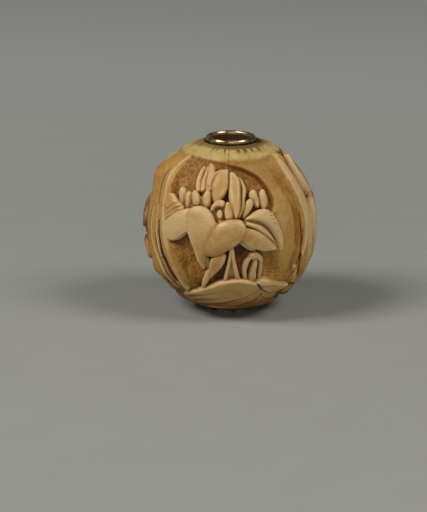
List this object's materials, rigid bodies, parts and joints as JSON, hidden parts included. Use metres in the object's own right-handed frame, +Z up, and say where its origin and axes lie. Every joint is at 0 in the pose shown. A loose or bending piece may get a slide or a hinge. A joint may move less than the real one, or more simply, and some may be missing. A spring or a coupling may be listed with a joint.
{
  "type": "carved cord bead",
  "caption": "Round carved cord bead with three sunk flower panels, a smooth collar at each end and gilt eyelets in the mouths of its through bore.",
  "frame": {"origin": "middle of the lower eyelet's flat crest, on which the bead stands", "axes": "+Z up along the cord bore, -Y towards the flower panel that the picture shows, +X to the viewer's right"},
  "size_m": [0.0172, 0.0171, 0.0176],
  "materials": {
    "ivory": "polished organic ivory-like material, pale on the high places, ochre in the ground and dark brown in the deep cuts",
    "gilt_metal": "gilt metal, bright on the crest of the rim and tarnished dark below it",
    "dark_lacquer": "thin bed of dark lacquer or pitch with grime on it"
  },
  "bodies": {
    "root": {"carved_body": "ivory", "upper_eyelet": "gilt_metal", "lower_eyelet": "gilt_metal", "upper_bedding": "dark_lacquer", "lower_bedding": "dark_lacquer"}
  },
  "joints": []
}
